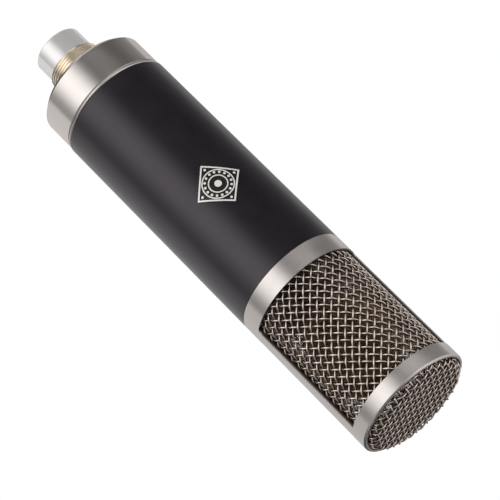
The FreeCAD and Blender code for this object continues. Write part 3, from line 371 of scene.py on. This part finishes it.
def moulded(name, colour, pale, roughness, grain_scale=2400, depth=0.01 * MM, coat=0.0):
    """Moulded or dipped insulating material with a fine surface grain and a little mottling."""
    made = Finish(name)
    grain = made.grain(grain_scale, detail=4.0)
    cloud = made.grain(scale=240, detail=2.0)
    made.set("Base Color", made.mottle(grain, cloud, colour, pale))
    made.set("Roughness", made.vary(grain, roughness - 0.07, roughness + 0.07))
    made.set("Coat Weight", coat)
    made.bump(grain, depth)
    return made.material


def milled_metal(name, colour, dark, roughness, stretch=(1, 1, 1)):
    """Milled, rolled or plated metal; a stretch below 1 draws its grain out along that axis."""
    made = Finish(name)
    stretched = made.add("ShaderNodeVectorMath", {"operation": "MULTIPLY"}, i0=made.place, i1=stretch)
    grain = made.noise(stretched.outputs[0], scale=3000, detail=4.0)
    cloud = made.grain(scale=160, detail=2.0)
    made.set("Base Color", made.mottle(grain, cloud, dark, colour))
    made.set("Metallic", 1.0)
    made.set("Roughness", made.vary(grain, roughness - 0.06, roughness + 0.08))
    made.bump(grain, 0.01 * MM)
    return made.material


def board_laminate():
    """Glass cloth laminate with copper tracks under the mask."""
    made = Finish("board_laminate_finish")
    cloth = made.add("ShaderNodeTexBrick", {"offset": 0.5}, Vector=made.place, Scale=900.0)
    weave = made.grain(scale=1800, detail=2.0)
    tracks = made.bands("X", scale=70.0, distortion=6.0, detail=1.0, profile="SAW")
    track = made.remap(tracks, 0.45, 0.5, 0, 1)
    mask = made.mix(made.vary(weave, 0, 1), rgba(0.010, 0.050, 0.020), rgba(0.018, 0.075, 0.030))
    made.set("Base Color", made.mix(track, mask, rgba(0.040, 0.130, 0.050)))
    made.set("Roughness", made.vary(weave, 0.28, 0.4))
    made.bump(made.math("ADD", track, cloth.outputs["Fac"]), 0.02 * MM)
    return made.material


def stacked_steel():
    """Core laminations seen edge on."""
    made = Finish("core_steel_finish")
    sheets = made.bands("Y", scale=900.0, distortion=0.4)
    grain = made.grain(scale=2500)
    made.set("Base Color", made.mix(sheets, rgba(0.10, 0.10, 0.11), rgba(0.30, 0.29, 0.28)))
    made.set("Metallic", 1.0)
    made.set("Roughness", made.vary(grain, 0.35, 0.55))
    made.bump(sheets, 0.03 * MM)
    return made.material


def winding_tape():
    """Overlapped polyester tape round the winding."""
    made = Finish("winding_tape_finish")
    laps = made.bands("Z", scale=50.0, distortion=0.8, profile="SAW")
    creases = made.grain(scale=900, detail=4.0)
    made.set("Base Color", made.mix(creases, rgba(0.55, 0.30, 0.04), rgba(0.75, 0.48, 0.10)))
    made.set("Roughness", made.vary(creases, 0.22, 0.4))
    made.bump(made.math("ADD", laps, creases), 0.04 * MM)
    return made.material


def gold_film():
    """Gold sputtered on a tensioned film: very smooth, with faint wrinkles and pinholes."""
    made = Finish("gold_film_finish")
    wrinkle = made.grain(scale=300, detail=2.0)
    pinholes = made.remap(made.grain(scale=6000, detail=2.0), 0.62, 0.72, 0, 1)
    made.set("Base Color", made.mix(pinholes, rgba(0.95, 0.74, 0.30), rgba(0.62, 0.45, 0.17)))
    made.set("Metallic", 1.0)
    made.set("Roughness", made.vary(wrinkle, 0.10, 0.20))
    made.bump(wrinkle, 0.05 * MM)
    return made.material


def banded_resistors():
    """Lacquered resistor bodies with colour bands along their length."""
    made = Finish("resistor_body_finish")
    parts = made.add("ShaderNodeSeparateXYZ", Vector=made.place)
    grain = made.grain(scale=2400)
    band = made.remap(made.bands("Z", scale=190.0), 0.80, 0.86, 0, 1)
    hue = made.noise(made.add("ShaderNodeCombineXYZ", Z=parts.outputs[2]).outputs[0], scale=450, detail=0.0)
    ink = made.mix(made.remap(hue, 0.35, 0.65, 0, 1), rgba(0.30, 0.03, 0.02), rgba(0.02, 0.02, 0.10))
    body = made.mix(grain, rgba(0.28, 0.42, 0.48), rgba(0.34, 0.50, 0.56))
    made.set("Base Color", made.mix(band, body, ink))
    made.set("Roughness", made.vary(grain, 0.25, 0.4))
    made.bump(grain, 0.02 * MM)
    return made.material


# The leads stand this far out on both sides of the middle.
LEAD_SPREAD = 4 * MM


def wire_jackets():
    """Insulated hook-up wire, a different tint for each lead."""
    made = Finish("wire_jacket_finish")
    parts = made.add("ShaderNodeSeparateXYZ", Vector=made.place)
    across = made.remap(parts.outputs[0], -LEAD_SPREAD, LEAD_SPREAD, 0, 1)
    grain = made.grain(scale=3000)
    tint = made.mix(across, rgba(0.45, 0.03, 0.02), rgba(0.75, 0.72, 0.66))
    made.set("Base Color", made.mix(made.vary(grain, 0, 0.25), tint, rgba(0.05, 0.05, 0.05)))
    made.set("Roughness", made.vary(grain, 0.35, 0.5))
    made.bump(grain, 0.01 * MM)
    return made.material


def make_metals():
    """The metal finishes, by material slot."""
    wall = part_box("grille_frame")[1].x
    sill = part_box("mesh_retaining_ring")[0].z
    return {
        "satin_nickel": turned_metal(
            "satin_nickel_finish", (0.68, 0.635, 0.61), roughness=0.30, line_depth=0.004 * MM, stretch=0.88,
            lines_seen=0.6, ledge=(wall - LEDGE_DEPTH, sill)),
        "polished_nickel": turned_metal(
            "polished_nickel_finish", (0.645, 0.603, 0.58), roughness=0.22, line_depth=0.0006 * MM,
            stretch=0.8, patina=0.02, lines_seen=0.2),
        "bright_nickel": turned_metal(
            "bright_nickel_finish", (0.87, 0.865, 0.855), roughness=0.17, line_depth=0.001 * MM,
            stretch=0.6, patina=0.02, metallic=0.42, lines_seen=0.3),
        "thread_brass": turned_metal(
            "thread_brass_finish", (0.88, 0.77, 0.61), roughness=0.20, line_depth=0.0005 * MM, stretch=0.2,
            patina=0.04, lines_seen=0.4),
        "capsule_brass": turned_metal(
            "capsule_brass_finish", (0.52, 0.40, 0.22), roughness=0.30, line_depth=0.008 * MM, patina=0.10),
        "mesh_wire": coarse_wire(
            "mesh_wire_finish", (0.90, 0.79, 0.72), dark=(0.64, 0.54, 0.475), roughness=0.15),
        "fine_mesh": drawn_wire(
            "fine_mesh_finish", (0.30, 0.226, 0.186), dark=(0.10, 0.073, 0.058), roughness=0.36),
        "badge_metal": badge_metal(wall + RELIEF_STEP),
        "contact_gold": milled_metal(
            "contact_gold_finish", (0.95, 0.70, 0.32), dark=(0.80, 0.54, 0.20), roughness=0.22),
        "screw_steel": milled_metal(
            "screw_steel_finish", (0.62, 0.60, 0.57), dark=(0.40, 0.38, 0.36), roughness=0.3),
        "chassis_metal": milled_metal(
            "chassis_metal_finish", (0.58, 0.57, 0.55), dark=(0.44, 0.43, 0.41), roughness=0.36,
            stretch=(1, 1, 0.08)),
        "core_steel": stacked_steel(),
        "gold_film": gold_film(),
    }


def make_insulators():
    """The lacquered, moulded and wound finishes, by material slot."""
    return {
        "black_lacquer": black_lacquer(),
        "insert_plastic": moulded(
            "insert_plastic_finish", (0.012, 0.012, 0.013), pale=(0.028, 0.028, 0.03), roughness=0.42),
        "rubber_black": moulded(
            "rubber_black_finish", (0.010, 0.010, 0.010), pale=(0.026, 0.025, 0.024), roughness=0.72,
            grain_scale=1800, depth=0.03 * MM),
        "film_red": moulded(
            "film_red_finish", (0.32, 0.025, 0.015), pale=(0.42, 0.05, 0.03), roughness=0.24, coat=0.4),
        "can_sleeve": moulded(
            "can_sleeve_finish", (0.012, 0.018, 0.06), pale=(0.02, 0.03, 0.09), roughness=0.3, coat=0.2),
        "board_laminate": board_laminate(),
        "resistor_body": banded_resistors(),
        "winding_tape": winding_tape(),
        "wire_jacket": wire_jackets(),
    }


def dress_nodes(finishes):
    """Gives every CAD node the finish of its slot."""
    for part in frame["nodes"].values():
        for slot in part.material_slots:
            slot.material = finishes[slot.material.name]


# ---------------------------------------------------------------- woven wire

SHARP_EDGE = math.radians(80)


def add_piece(name, vertices, faces):
    """A smooth-shaded piece from its vertices and faces."""
    mesh = bpy.data.meshes.new(name)
    mesh.from_pydata(vertices, [], faces)
    mesh.validate()
    mesh.shade_smooth()
    mesh.set_sharp_from_angle(angle=SHARP_EDGE)
    piece = bpy.data.objects.new(name, mesh)
    bpy.context.scene.collection.objects.link(piece)
    return piece


def wire_mesh(name, strands, wire_radius, sides):
    """Closed round wires: each strand is its centre points and the surface normals there."""
    ring_turn = np.arange(sides) * 2 * math.pi / sides
    vertices = []
    faces = []
    start = 0
    for points, normals in strands:
        along = np.gradient(points, axis=0)
        along /= np.linalg.norm(along, axis=1, keepdims=True)
        across = np.cross(along, normals)
        across /= np.linalg.norm(across, axis=1, keepdims=True)
        outward = np.cross(across, along)
        rim = (outward[:, None] * np.cos(ring_turn)[None, :, None]
               + across[:, None] * np.sin(ring_turn)[None, :, None])
        vertices.append((points[:, None] + wire_radius * rim).reshape(-1, 3))
        count = len(points)
        first = np.arange(count - 1)[:, None] * sides + np.arange(sides)[None]
        second = np.arange(count - 1)[:, None] * sides + (np.arange(sides) + 1)[None] % sides
        quads = np.stack([first, first + sides, second + sides, second], -1).reshape(-1, 4) + start
        faces.extend(quads.tolist())
        faces.append(list(range(start, start + sides)))
        last = start + (count - 1) * sides
        faces.append(list(range(last + sides - 1, last - 1, -1)))
        start += count * sides
    return add_piece(name, np.concatenate(vertices).tolist(), faces)


def lathe_strand(turn, radius, height):
    """The points and outward normals of one strand on an upright cylinder."""
    outward = np.stack([np.sin(turn), -np.cos(turn), np.zeros(len(turn))], -1)
    points = outward * radius[:, None]
    points[:, 2] = height
    return points, outward


def fit_piece(piece, finish, nodes):
    """Gives a piece its finish and its body, and hides the CAD nodes that it stands for."""
    piece.data.materials.append(finish)
    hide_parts(*nodes)
    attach(piece, HEAD)


# Strands each way round the wrap, the height of one over-and-under wave, and the place of one crossing:
# its distance round the wrap from the front, and its height.
OUTER_STRANDS = 38
OUTER_RISE = 3.5165 * MM
OUTER_CROSSING = (1.588 * MM, 140.986 * MM)

# Sides of a wire's cross-section, and its rings in each half wave.
OUTER_SIDES = 8
OUTER_STEPS = 8


def diagonal_strands(outer_radius, low, high, lean):
    """Strands that climb round the wrap at 45 degrees, over and under the other set in turn."""
    middle = outer_radius - 2 * OUTER_WIRE
    spread = 2 * math.pi / OUTER_STRANDS
    start_turn = OUTER_CROSSING[0] / middle
    first = 2 * (low - OUTER_CROSSING[1]) / OUTER_RISE
    last = 2 * (high - OUTER_CROSSING[1]) / OUTER_RISE
    count = int((last - first) * OUTER_STEPS) + 1
    rise = np.linspace(first, last, count)
    height = OUTER_CROSSING[1] + rise * OUTER_RISE / 2
    radius = middle + lean * OUTER_WIRE * np.cos(math.pi * rise)
    strands = []
    for index in range(OUTER_STRANDS):
        turn = start_turn + spread * (index + lean * rise / 2)
        strands.append(lathe_strand(turn, radius, height))
    return strands


def make_outer_wrap(finish):
    """The coarse diagonal weave inside the windows."""
    low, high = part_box("outer_mesh_wrap")
    for name, lean in (("grille_wires_rising", 1), ("grille_wires_falling", -1)):
        strands = diagonal_strands(high.x, low.z, high.z, lean)
        piece = wire_mesh(name, strands, OUTER_WIRE, OUTER_SIDES)
        fit_piece(piece, finish, ["outer_mesh_wrap"])


# Pitch and wire radius of the lining, and how far its uprights run past the end hoops, in pitches.
FINE_PITCH = 0.54 * MM
FINE_WIRE = 0.1125 * MM
FINE_SIDES = 4
FINE_STEPS = 2
FINE_TAIL = 0.3


def make_inner_wrap(finish):
    """The fine square weave that lines the coarse one."""
    low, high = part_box("inner_mesh_wrap")
    middle = high.x - 2 * FINE_WIRE
    around = 2 * round(math.pi * middle / FINE_PITCH)
    levels = int((high.z - low.z - 4 * FINE_WIRE) / FINE_PITCH)
    bottom = (low.z + high.z - levels * FINE_PITCH) / 2
    steps = np.arange(-1, levels * FINE_STEPS + 2) / FINE_STEPS
    steps = np.clip(steps, -FINE_TAIL, levels + FINE_TAIL)
    wave = FINE_WIRE * np.cos(math.pi * steps)
    uprights = []
    for index in range(around):
        turn = np.full(len(steps), 2 * math.pi * index / around)
        sign = 1 if index % 2 == 0 else -1
        uprights.append(lathe_strand(turn, middle + sign * wave, bottom + steps * FINE_PITCH))
    steps = np.arange(around * FINE_STEPS) / FINE_STEPS
    wave = FINE_WIRE * np.cos(math.pi * steps)
    turn = 2 * math.pi * steps / around
    hoops = []
    for level in range(levels + 1):
        sign = -1 if level % 2 == 0 else 1
        hoops.append(lathe_strand(turn, middle + sign * wave, bottom + level * FINE_PITCH))
    for name, strands in (("upright", uprights), ("round", hoops)):
        half = len(strands) // 2
        for part, chosen in (("a", strands[:half]), ("b", strands[half:])):
            piece = wire_mesh(f"lining_wires_{name}_{part}", chosen, FINE_WIRE, FINE_SIDES)
            fit_piece(piece, finish, ["inner_mesh_wrap"])


# Pitch of the end's weave both ways, its turn from the front, and the crossing nearest the axis.
END_PITCH = (2.456 * MM, 2.286 * MM)
END_TURN = math.radians(3.6)
END_CENTRE = (0.058 * MM, 0.007 * MM)

LINING_BEND = 1.1 * MM
LINING_TURN = math.radians(24)

# Keeps a point on the axis from being divided by no distance.
CENTRE_GUARD = 1e-9


def cup_point(reach, top, flat_radius, bend):
    """Radius, height and normal on a pressed cup, at a distance along its profile from the centre."""
    arc = bend * math.pi / 2
    angle = np.clip((reach - flat_radius) / bend, 0, math.pi / 2)
    fall = np.maximum(reach - flat_radius - arc, 0)
    radius = np.minimum(reach, flat_radius) + bend * np.sin(angle)
    height = top - bend * (1 - np.cos(angle)) - fall
    return radius, height, np.sin(angle), np.cos(angle)


def cup_strands(box, wire_radius, pitch, steps_per_pitch, bend, turn, centre):
    """A square weave pressed over a cup: each flat strand is bent down over the shoulder."""
    low, high = box
    top = high.z - 2 * wire_radius
    outer_radius = high.x - 2 * wire_radius
    flat_radius = outer_radius - bend
    reach = flat_radius + bend * math.pi / 2 + (top - bend - low.z)
    cos_turn, sin_turn = math.cos(turn), math.sin(turn)
    shift = (centre[0] * cos_turn + centre[1] * sin_turn, -centre[0] * sin_turn + centre[1] * cos_turn)
    strands = []
    for family in (0, 1):
        along_pitch, across_pitch = pitch[family], pitch[1 - family]
        limit = int(reach / across_pitch) + 1
        for index in range(-limit, limit + 1):
            fixed = index * across_pitch + shift[1 - family]
            if abs(fixed) > reach - across_pitch / 2:
                continue
            half = math.sqrt(reach * reach - fixed * fixed)
            count = 2 * int(half / along_pitch * steps_per_pitch) + 1
            moving = np.linspace(-half, half, count)
            phase = (moving - shift[family]) / along_pitch + index
            lift = wire_radius * np.cos(math.pi * phase) * (1 if family == 0 else -1)
            still = np.full(count, fixed)
            flat_x, flat_y = (moving, still) if family == 0 else (still, moving)
            x = flat_x * cos_turn - flat_y * sin_turn
            y = flat_x * sin_turn + flat_y * cos_turn
            distance = np.hypot(x, y)
            radius, height, lean_out, lean_up = cup_point(distance, top, flat_radius, bend)
            safe = np.maximum(distance, CENTRE_GUARD)
            normals = np.stack([x / safe * lean_out, y / safe * lean_out, lean_up], -1)
            points = np.stack([x / safe * radius, y / safe * radius, height], -1)
            strands.append((points + normals * lift[:, None], normals))
    return strands


def make_end_cups(coarse_finish, fine_finish):
    """The domed end of the grille, coarse outside and fine inside."""
    strands = cup_strands(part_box("end_mesh_outer"), OUTER_WIRE, END_PITCH, OUTER_STEPS,
                          END_BEND - 2 * OUTER_WIRE, END_TURN, END_CENTRE)
    piece = wire_mesh("grille_end_wires", strands, OUTER_WIRE, OUTER_SIDES)
    fit_piece(piece, coarse_finish, ["end_mesh_outer"])
    strands = cup_strands(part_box("end_mesh_inner"), FINE_WIRE, (FINE_PITCH, FINE_PITCH), FINE_STEPS,
                          LINING_BEND, LINING_TURN, (0, 0))
    piece = wire_mesh("lining_end_wires", strands, FINE_WIRE, FINE_SIDES)
    fit_piece(piece, fine_finish, ["end_mesh_inner"])


# ---------------------------------------------------------------- stand thread

THREAD_PITCH = 1.1 * MM
THREAD_DEPTH = 0.42 * MM
THREAD_RUN_OUT = 0.5 * THREAD_PITCH

# Across one pitch, the groove's share of that depth is this height less this slope out from its middle,
# kept between 0 and 1.
GROOVE_HEIGHT = 1.35
GROOVE_SLOPE = 4.2

# Rings of points in one pitch, and points in one ring.
THREAD_STEPS = 16
AROUND_STEPS = 144


def thread_cut(height, turn, low, high):
    """Depth of the thread's groove, which runs out at both ends."""
    phase = (height / THREAD_PITCH - turn / (2 * math.pi)) % 1
    groove = np.clip(GROOVE_HEIGHT - np.abs(phase - 0.5) * GROOVE_SLOPE, 0, 1)
    run_in = np.clip(np.minimum(height - low, high - height) / THREAD_RUN_OUT, 0, 1)
    return THREAD_DEPTH * groove * run_in


def threaded_rows(crest, bottom, top, lead_in):
    """Profile points up one thread: radius, height and the thread's two ends."""
    count = int((top - bottom) / THREAD_PITCH * THREAD_STEPS)
    return [(crest, height, (bottom, top)) for height in np.linspace(bottom + lead_in, top, count)]


def make_stem(finish):
    """The flanged tail tube with a helical stand thread below the undercut and the cap's thread above."""
    low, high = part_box("threaded_stem")
    flange = high.x
    stand = next(mount for mount in frame["record"]["mounts"] if mount["name"] == "stand_thread")
    crest = stand["dims"]["r_mm"] * MM
    flange_bottom = 17 * MM
    flange_edge = 0.25 * MM
    undercut = crest - 0.6 * MM
    undercut_bottom = 0.0
    undercut_top = 1.2 * MM
    cap_thread_top = 15 * MM
    step = 6 * MM
    wide_bore = 9.25 * MM
    narrow_bore = 8.2 * MM
    lead_in = 0.35 * MM
    rows = [(wide_bore, low.z, None), (crest - lead_in, low.z, None)]
    rows.extend(threaded_rows(crest, low.z, undercut_bottom, lead_in))
    rows.extend([(undercut, undercut_bottom, None), (undercut, undercut_top, None)])
    rows.extend(threaded_rows(crest, undercut_top, cap_thread_top, 0.0))
    rows.extend([
        (crest, flange_bottom, None),
        (flange - flange_edge, flange_bottom, None),
        (flange, flange_bottom + flange_edge, None),
        (flange, high.z, None),
        (narrow_bore, high.z, None),
        (narrow_bore, step, None),
        (wide_bore, step, None),
    ])
    turn = np.arange(AROUND_STEPS) * 2 * math.pi / AROUND_STEPS
    vertices = []
    for radius, height, thread in rows:
        reach = np.full(AROUND_STEPS, radius)
        if thread:
            reach = radius - thread_cut(height, turn, *thread)
        level = np.full(AROUND_STEPS, height)
        vertices.extend(np.stack([reach * np.cos(turn), reach * np.sin(turn), level], -1).tolist())
    faces = []
    for row in range(len(rows)):
        below = row * AROUND_STEPS
        above = (row + 1) % len(rows) * AROUND_STEPS
        for here in range(AROUND_STEPS):
            beside = (here + 1) % AROUND_STEPS
            faces.append((below + here, below + beside, above + beside, above + here))
    piece = add_piece("stand_thread_stem", vertices, faces)
    fit_piece(piece, finish, ["threaded_stem"])


# ---------------------------------------------------------------- studio

# Brightness of the surround by bearing, in degrees clockwise from the camera's side: first level with
# the camera's mirror image in an upright wall, then above and below that band.
LEVEL_BAND = (
    (-180, 0.70), (-150, 0.80), (-90, 0.93), (-86, 0.40), (-70, 0.58), (-60, 1.00), (-45, 1.62),
    (-30, 1.74), (-15, 1.42), (-2, 0.80), (10, 0.24), (20, 0.06), (40, 0.015), (60, 0.02), (80, 0.08),
    (100, 0.19), (110, 0.24), (128, 0.30), (134, 0.66), (138, 0.86), (142, 0.58), (165, 0.60),
    (180, 0.70),
)
REST_BAND = (
    (-180, 0.24), (-150, 0.05), (-92, 0.03), (-84, 0.04), (-70, 0.15), (-60, 0.42), (-45, 1.00),
    (-30, 1.65), (-15, 1.62), (-2, 1.10), (10, 0.66), (20, 0.78), (40, 1.45), (60, 1.45), (80, 0.62),
    (100, 0.34), (110, 0.32), (125, 0.44), (140, 0.66), (165, 0.62), (180, 0.55),
)
BAND_EDGE = (0.15, 0.30)

# The light overhead is the sum of ramps across the camera's view, from its left, -1, to its right, 1:
# where each ramp starts and ends, and its brightness at both.
OVERHEAD_RAMPS = ((-0.7, 0.1, 0.06, 0.25), (0.1, 0.6, 0, 0.7), (-0.9, -0.6, 0.7, 0))
OVERHEAD_EDGE = (0.10, 0.45)
LIGHT_TINT = (1.0, 0.99, 0.98)


def light_band(graph, bearing, stops):
    """Brightness by bearing, joined up between the stops."""
    strongest = max(strength for _, strength in stops)
    ramp = graph.add("ShaderNodeValToRGB", Fac=graph.remap(bearing, -math.pi, math.pi, 0, 1))
    elements = ramp.color_ramp.elements
    while len(elements) < len(stops):
        elements.new(0.5)
    for element, (degrees, strength) in zip(elements, stops):
        element.position = (degrees + 180) / 360
        share = strength / strongest
        element.color = rgba(share, share, share)
    return graph.math("MULTIPLY", ramp.outputs["Color"], strongest)


def make_surround():
    """A tent of soft light, white to the camera itself."""
    world = bpy.data.worlds.new("soft_surround")
    world.use_nodes = True
    bpy.context.scene.world = world
    graph = Graph(world.node_tree)
    graph.tree.nodes.clear()
    direction = graph.add("ShaderNodeTexCoord").outputs["Generated"]
    height = graph.add("ShaderNodeSeparateXYZ", Vector=direction).outputs[2]
    ahead = graph.dot(direction, CAMERA_SIDE)
    beside = graph.dot(direction, Vector((CAMERA_SIDE.y, -CAMERA_SIDE.x, 0.0)))
    bearing = graph.math("ARCTAN2", beside, ahead)
    level = light_band(graph, bearing, LEVEL_BAND)
    rest = light_band(graph, bearing, REST_BAND)
    off_level = graph.math("ABSOLUTE", graph.math("ADD", height, math.sin(CAMERA_ELEVATION)))
    around = graph.mix(graph.remap(off_level, *BAND_EDGE, 0, 1, "SMOOTHSTEP"), level, rest)
    slope = 0.0
    for ramp in OVERHEAD_RAMPS:
        slope = graph.math("ADD", slope, graph.remap(beside, *ramp))
    overhead = graph.remap(height, *OVERHEAD_EDGE, 0, 1, "SMOOTHSTEP")
    lit = graph.mix(overhead, around, graph.grey(slope))
    tint = graph.mix(1.0, lit, rgba(*LIGHT_TINT), "MULTIPLY")
    seen = graph.add("ShaderNodeLightPath").outputs["Is Camera Ray"]
    colour = graph.mix(seen, tint, rgba(1.0, 1.0, 1.0))
    background = graph.add("ShaderNodeBackground", Color=colour, Strength=1.0)
    output = graph.add("ShaderNodeOutputWorld")
    graph.tree.links.new(background.outputs[0], output.inputs[0])


FLOOR_REACH = 6.0
FLOOR_GLOW = (1.01, 1.03)
PAPER_SCALE = 3.0


def make_floor():
    """A plain pale floor under the tail; it is left out of reflections, and seen through from below."""
    level = cad_box[0].z
    corners = [(x * FLOOR_REACH, y * FLOOR_REACH, level) for x, y in ((-1, -1), (1, -1), (1, 1), (-1, 1))]
    mesh = bpy.data.meshes.new("pale_floor")
    mesh.from_pydata(corners, [], [(0, 1, 2, 3)])
    floor = bpy.data.objects.new("pale_floor", mesh)
    bpy.context.scene.collection.objects.link(floor)
    material = bpy.data.materials.new("pale_floor_finish")
    material.use_nodes = True
    graph = Graph(material.node_tree)
    graph.tree.nodes.clear()
    place = graph.add("ShaderNodeTexCoord").outputs["Object"]
    paper = graph.vary(graph.noise(place, PAPER_SCALE, detail=2.0), *FLOOR_GLOW)
    glow = graph.add("ShaderNodeEmission", Strength=paper)
    clear = graph.add("ShaderNodeBsdfTransparent")
    below = graph.add("ShaderNodeNewGeometry").outputs["Backfacing"]
    blend = graph.add("ShaderNodeMixShader", i0=below, i1=glow.outputs[0], i2=clear.outputs[0])
    output = graph.add("ShaderNodeOutputMaterial")
    graph.tree.links.new(blend.outputs[0], output.inputs[0])
    mesh.materials.append(material)
    floor.visible_glossy = False
    floor.visible_diffuse = False
    floor.visible_shadow = False


def main():
    """Builds the looks round the CAD frame."""
    bpy.context.scene.view_settings.view_transform = "Standard"
    make_camera()
    make_surround()
    make_floor()
    finishes = {**make_metals(), **make_insulators()}
    dress_nodes(finishes)
    make_outer_wrap(finishes["mesh_wire"])
    make_inner_wrap(finishes["fine_mesh"])
    make_end_cups(finishes["mesh_wire"], finishes["fine_mesh"])
    make_stem(finishes["thread_brass"])


main()
